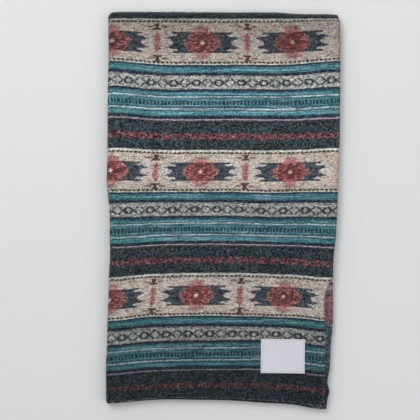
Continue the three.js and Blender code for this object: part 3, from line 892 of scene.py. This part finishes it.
def heathered(w):
    """The painted colour with a tone of its own at each crossing, streaks along the weft, painted light and
    shade along the cloth, and lint.
    """
    fleck = w.speckle(w.cell, w.weft, 21.5, colour=True)
    flecked = w.blend(0.13, w.colour, fleck, "OVERLAY")
    # Painted light and shade along the cloth: darker over the crest and towards the hem
    painted_light = w.curve(w.v.abs(), 400, PAINTED_LIGHT_ROWS)
    rough = w.in_slate * 5.0 + w.in_claw * 2.2 + w.in_teal * 0.3 + 0.5
    clouds = w.wave(w.s * 0.03, w.v * 0.09, 5.5, 0.5, detail=2.0)
    streaks = (w.streak - 0.5) * 1.3 + (w.streak2 - 0.5) * 0.9
    tone = w.grain * 0.56 + w.grain2 * 0.26 + streaks + clouds + (w.blotch - 0.5) * rough + 0.3
    tone = tone.math("MAXIMUM", 0.12) * painted_light * 1.26
    redness = w.curve(w.v.abs(), 400, RED_SHARE_ROWS)
    shades = w.point(tone * redness, tone * (redness * 0.5 + 0.5), tone)
    toned = w.multiply(flecked, shades)
    # Loose lint and pale fibres catch in the dark yarns
    warm = w.blend(w.grain2 > 0.5, YARN_AND_PAINTED_LIGHT["lint"], YARN_AND_PAINTED_LIGHT["lint_warm"])
    lint = w.speckle(w.cell, w.weft, 33.5) > 0.78
    return w.blend(lint * (w.streak2 * 0.5) * ((w.row > 43.5) + w.in_claw) * painted_light, toned, warm)


def wool_material():
    w = Weave()
    for paint in (paint_dyes, paint_dashes, paint_cream_band, paint_chain, paint_red_row, paint_edges):
        paint(w)
    # Threads and felted nap
    height = w.felt * 0.6 + w.thread * 0.06 + w.grain * 0.12 + w.fuzz * 0.35
    w.finish(
        Base_Color=heathered(w), Normal=w.bump(height, 0.9, 0.0012),
        Roughness=w.felt * 0.14 + 0.86, Specular_IOR_Level=0.12,
        Sheen_Weight=0.25, Sheen_Roughness=0.55, Sheen_Tint=(0.92, 0.96, 1.0, 1.0),
    )
    return w.material


wool = wool_material()
cloth = cloth_mesh(wool)
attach(cloth, "root")
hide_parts("blanket")

# Raised nap: short curved fibres, joined in a few meshes, that take the colour of their root

def sample(grid, r, c):
    """A grid's values between its stations."""
    r0, c0 = np.minimum(r.astype(int), grid.shape[0] - 2), np.minimum(c.astype(int), grid.shape[1] - 2)
    fr, fc = (r - r0)[:, None], (c - c0)[:, None]
    low = mix(grid[r0, c0], grid[r0, c0 + 1], fc)
    high = mix(grid[r0 + 1, c0], grid[r0 + 1, c0 + 1], fc)
    return mix(low, high, fr)


def roots(rng, count, rows, columns):
    """Even spread of places over the grid's first rows and columns, by true area."""
    patch = outer[: rows + 1, : columns + 1]
    corner, below, beside = patch[:-1, :-1], patch[1:, :-1], patch[:-1, 1:]
    area = np.linalg.norm(np.cross(below - corner, beside - corner), axis=-1)
    cells = rng.choice(area.size, count, p=(area / area.sum()).ravel())
    r, c = np.unravel_index(cells, area.shape)
    return r + rng.random(count), c + rng.random(count)


def nap_mesh(name, seed, count, rows, columns, length, width, lift, material):
    """Fibres of two bends, from 0.3 to 1 of length, that stand lift off the cloth."""
    rng = np.random.default_rng(seed)
    r, c = roots(rng, count, rows, columns)
    # None stand under the label
    root = sample(outer, r, c)
    beside = np.abs(root[:, 0] - LABEL["x"]) > LABEL["wide"] / 2 - 1
    beside |= np.abs(root[:, 1] - LABEL["y"]) > LABEL["long"] / 2 - 1
    r, c, root = r[beside], c[beside], root[beside]
    count = len(r)
    normal = sample(outer_normal, r, c)
    normal /= np.linalg.norm(normal, axis=1, keepdims=True)
    uv = sample(pattern, r, c) * MM
    lie = rng.normal(size=(count, 3))
    lie -= normal * (lie * normal).sum(1, keepdims=True)
    lie /= np.linalg.norm(lie, axis=1, keepdims=True)
    reach = length * rng.uniform(0.3, 1, (count, 1))
    rise = lift * rng.uniform(0.25, 1, (count, 1))
    side = np.cross(normal, lie)
    bend = side * reach * rng.normal(0, 0.25, (count, 1))
    a = root - normal * 0.25
    b = root + lie * reach * 0.45 + normal * rise + bend * 0.5
    d = root + lie * reach + normal * rise * rng.uniform(0.1, 1.1, (count, 1)) + bend * 1.6
    half = side * width / 2 * rng.uniform(0.6, 1.2, (count, 1))
    points = np.stack([a - half, a + half, b + half * 0.8, b - half * 0.8, d], 1).reshape(-1, 3)
    start = np.arange(count)[:, None] * 5
    faces = np.concatenate([start + [0, 1, 2], start + [0, 2, 3], start + [3, 2, 4]])
    wide = math.ceil(math.sqrt(count * 3))
    corners = np.array([(0.1, 0.1), (0.9, 0.1), (0.9, 0.5), (0.1, 0.5), (0.5, 0.9)])
    lay = (cells(count, wide)[:, None] + corners[None]) * (1 / wide, 1 / (count // wide + 1))
    lay = lay.reshape(-1, 2)
    cloth_uv = np.repeat(uv, 5, axis=0)
    obj = mesh_object(name, points, faces, {"cloth": cloth_uv[faces], "OFBake": lay[faces]}, material)
    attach(obj, "root")
    return obj


# The nap shows from the hem to past the crest, and from the free edge well round the left fold
nap_rows = int(np.argmax((steps_down["half"] == 0) & (steps_down["part"] > 0.35)))
nap_columns = int(np.argmax(stations["panel"] == "left")) + 9
naps = [
    nap_mesh("nap_a", 21, 58000, nap_rows, nap_columns, 3.4, 0.2, 0.9, wool),
    nap_mesh("nap_b", 22, 58000, nap_rows, nap_columns, 2.4, 0.16, 1.3, wool),
]


# Label of satin tape, sewn near the free corner

def tape_material():
    sh = Shade("satin_tape")
    x, y = sh.uv("tape", (1 / MM, 1 / MM))
    warp = (x * (2 * math.pi / 0.5)).math("SINE")
    weft_line = (y * (2 * math.pi / 0.7)).math("SINE")
    soil = sh.noise(x * 0.06, y * 0.06, 0.4, detail=3.0)
    fibre = sh.noise(x * 0.5, y * 3.0, 2.4, detail=2.0)
    sh.finish(
        Base_Color=sh.blend(soil * 0.5 + fibre * 0.3, linear(212, 210, 216), linear(186, 185, 192)),
        Normal=sh.bump(warp * 0.3 + weft_line * 0.3 + fibre * 0.8, 0.4, 0.0002),
        Roughness=fibre * 0.15 + 0.5, Specular_IOR_Level=0.35, Sheen_Weight=0.1,
    )
    return sh.material


def distance_at(x, y):
    """The cloth distance on the front half at which threads cross x, y."""
    near, far = np.full(np.shape(x), TURN_CLOTH), np.full(np.shape(x), FRONT_LENGTH)
    for _ in range(30):
        middle = (near + far) / 2
        above = place(x, 0 * x, -middle)[..., 1] > y
        near, far = np.where(above, middle, near), np.where(above, far, middle)
    return -(near + far) / 2


def on_label(a, b):
    """Place of the label's underside at a, b from its middle, and how far its upper face lies above."""
    turn = math.radians(LABEL["turn_deg"])
    x = LABEL["x"] + a * math.cos(turn) - b * math.sin(turn)
    y = LABEL["y"] + a * math.sin(turn) + b * math.cos(turn)
    z = place(x, np.full(x.shape, HALF_THICK), distance_at(x, y))[..., 2] + LABEL["clearance"]
    inside = np.minimum(LABEL["wide"] / 2 - np.abs(a), LABEL["long"] / 2 - np.abs(b))
    thick = LABEL["thick"] * (1 - 0.35 * (1 - np.clip(inside / 0.9, 0, 1)) ** 2)
    # The tape is drawn in along its seam
    pucker = 0.12 * np.exp(-((inside - STITCH["inset"]) ** 2) / 1.5) + smooth_field(a, b, 11, (16, 28), 0.06)
    return np.stack([x, y, z], -1), thick - pucker


def label_mesh(material):
    def places(length, count):
        """Places along a side from its middle, closer together at both ends."""
        between = np.linspace(0.9, length - 0.9, count)
        return np.concatenate([[0, 0.25], between, [length - 0.25, length]]) - length / 2

    a, b = np.meshgrid(places(LABEL["wide"], 41), places(LABEL["long"], 33))
    low, rise = on_label(a, b)
    top = low + rise[..., None] * (0, 0, 1)
    rows, columns = a.shape
    count = rows * columns
    front = grid_quads(rows, columns)[:, ::-1]
    back = grid_quads(rows, columns, count)
    ring = np.concatenate([
        np.arange(columns - 1),
        np.arange(rows - 1) * columns + columns - 1,
        (rows - 1) * columns + np.arange(columns - 1, 0, -1),
        np.arange(rows - 1, 0, -1) * columns,
    ])
    following = np.roll(ring, -1)
    rim = np.stack([ring + count, following + count, following, ring], -1)
    faces = np.concatenate([front, back, rim])
    flat = np.stack([a, b], -1).reshape(-1, 2) * MM
    flat = np.concatenate([flat, flat + (0, 0.08)])
    lay = np.stack([a / 90 + 0.5, b / 190 + 0.25], -1).reshape(-1, 2)
    lay = np.concatenate([lay, lay + (0, 0.45)])
    bake = lay[faces]
    step = 1 / (len(rim) + 1)
    for j, (du, dv) in enumerate([(0, 0), (step, 0), (step, 0.03), (0, 0.03)]):
        bake[-len(rim) :, j] = np.stack([np.arange(len(rim)) * step + du, np.full(len(rim), 0.94 + dv)], -1)
    points = np.concatenate([top.reshape(-1, 3), low.reshape(-1, 3)])
    return mesh_object("label_tape", points, faces, {"tape": flat[faces], "OFBake": bake}, material)


label = label_mesh(tape_material())
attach(label, "root")
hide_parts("label")


def thread_material():
    sh = Shade("sewing_thread")
    along, around = sh.uv("thread", (1 / MM, 1 / MM))
    twist = ((along * 2.2 + around * 3.0) * (2 * math.pi)).math("SINE")
    fibre = sh.noise(along * 1.5, around * 6.0, 1.7, detail=2.0)
    sh.finish(
        Base_Color=sh.blend(fibre, linear(176, 175, 184), linear(132, 132, 142)),
        Normal=sh.bump(twist * 0.5 + fibre * 0.5, 0.6, 0.0001), Roughness=fibre * 0.2 + 0.55,
    )
    return sh.material


def stitch_mesh(material):
    """Running stitches round the label: small bars that dip into the tape at both ends."""
    half_wide, half_long = LABEL["wide"] / 2 - STITCH["inset"], LABEL["long"] / 2 - STITCH["inset"]
    rng = np.random.default_rng(31)
    starts = []
    for side, (reach, off) in enumerate([(half_wide, -half_long), (half_long, half_wide)] * 2):
        count = int(round(2 * reach / STITCH["pitch"]))
        for i in range(count):
            at = -reach + (i + 0.5) * 2 * reach / count + rng.normal(0, 0.12)
            starts.append((side, at, off if side < 2 else -off, rng.normal(0, 0.1)))
    side, at, off, shift = (np.array(column) for column in zip(*starts))
    t = np.array([-1, -0.62, 0, 0.62, 1])
    rise = np.array([-0.3, 0.75, 1, 0.75, -0.3])
    spread = np.array([0.55, 1, 1.05, 1, 0.55])
    ring = np.array([(1, 0), (0.55, 0.75), (-0.55, 0.75), (-1, 0), (-0.5, -0.7), (0.5, -0.7)])
    along = at[:, None, None] + (t * STITCH["length"] / 2)[None, :, None] + 0 * ring[None, None, :, 0]
    across = (off + shift)[:, None, None] + ring[None, None, :, 0] * spread[None, :, None] * STITCH["radius"]
    level = (side % 2 == 0)[:, None, None]
    a, b = np.where(level, along, across), np.where(level, across, along)
    low, above = on_label(a, b)
    height = STITCH["radius"] * (rise[None, :, None] * 0.8 + ring[None, None, :, 1])
    points = low + (above + height)[..., None] * (0, 0, 1)
    count, steps, around = a.shape
    j, k = np.meshgrid(np.arange(steps - 1) * around, np.arange(around), indexing="ij")
    n = (k + 1) % around
    bar = np.stack([j + k, j + n, j + around + n, j + around + k], -1).reshape(-1, 4)
    near_end = np.array([(3, 2, 1, 0), (5, 4, 3, 0)])
    far_end = np.array([(0, 1, 2, 3), (0, 3, 4, 5)]) + (steps - 1) * around
    bar = np.concatenate([bar, near_end, far_end])
    faces = bar[None] + np.arange(count)[:, None, None] * steps * around
    faces = np.where(level, faces, faces[:, :, ::-1]).reshape(-1, 4)
    local = np.stack([along, np.broadcast_to(np.arange(around) * 0.25, along.shape)], -1).reshape(-1, 2) * MM
    wide = math.ceil(math.sqrt(count))
    corner = np.array([(0.1, 0.1), (0.9, 0.1), (0.9, 0.9), (0.1, 0.9)])
    part = (cells(len(bar), 6)[:, None] + corner[None]) / 6
    lay = (cells(count, wide)[:, None, None] + part[None]) / wide
    uvs = {"thread": local[faces], "OFBake": lay.reshape(-1, 4, 2)}
    return mesh_object("label_stitches", points.reshape(-1, 3), faces, uvs, material)


stitches = stitch_mesh(thread_material())
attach(stitches, "root")


# Floor, light and camera

def floor_material():
    sh = Shade("pale_floor")
    grain = sh.node("TexNoise")
    grain.inputs["Scale"].default_value = 14
    pale = linear(214, 214, 212)
    tint = sh.blend(sh.value(grain.outputs["Fac"]) * 0.06, pale, tuple(c * 0.8 for c in pale))
    sh.finish(Base_Color=tint, Roughness=0.9)
    return sh.material


# Just under the cloth, so that the two don't meet
FLOOR_HEIGHT = -0.0004
bpy.ops.mesh.primitive_plane_add(size=8, location=(0, 0, FLOOR_HEIGHT))
floor = bpy.context.object
floor.name = "floor"
floor.data.materials.append(floor_material())

scene = bpy.context.scene


def area_light(name, place_at, target, size, watts):
    data = bpy.data.lights.new(name, "AREA")
    data.shape, data.size, data.size_y = "RECTANGLE", size[0], size[1]
    data.energy = watts
    light = bpy.data.objects.new(name, data)
    scene.collection.objects.link(light)
    light.location = place_at
    toward = mathutils.Vector(target) - mathutils.Vector(place_at)
    light.rotation_euler = toward.to_track_quat("-Z", "Y").to_euler()


area_light("key", (-0.7, 0.9, 2.2), (0, 0, 0), (1.5, 1.5), 34)
area_light("fill", (1.2, -0.6, 1.9), (0, 0, 0), (1.8, 1.8), 14)
area_light("rim", (0.0, 1.9, 0.5), (0, 0.2, 0), (2.0, 0.5), 10)

world = bpy.data.worlds.new("studio")
scene.world = world
world.use_nodes = True
background = world.node_tree.nodes["Background"]
background.inputs["Color"].default_value = (0.9, 0.93, 1.0, 1)
background.inputs["Strength"].default_value = 0.45
scene.view_settings.view_transform = "Standard"
scene.view_settings.look = "None"

FRAME_WIDE = 0.7644
CAMERA_HEIGHT = 2.2
CAMERA_X = -0.0226
camera_data = bpy.data.cameras.new("camera")
camera_data.sensor_width = 36
camera_data.lens = 36 * CAMERA_HEIGHT / FRAME_WIDE
camera_data.clip_end = 20
camera = bpy.data.objects.new("camera", camera_data)
scene.collection.objects.link(camera)
camera.location = (CAMERA_X, 0.0, STACK_THICK * MM + CAMERA_HEIGHT)
scene.camera = camera
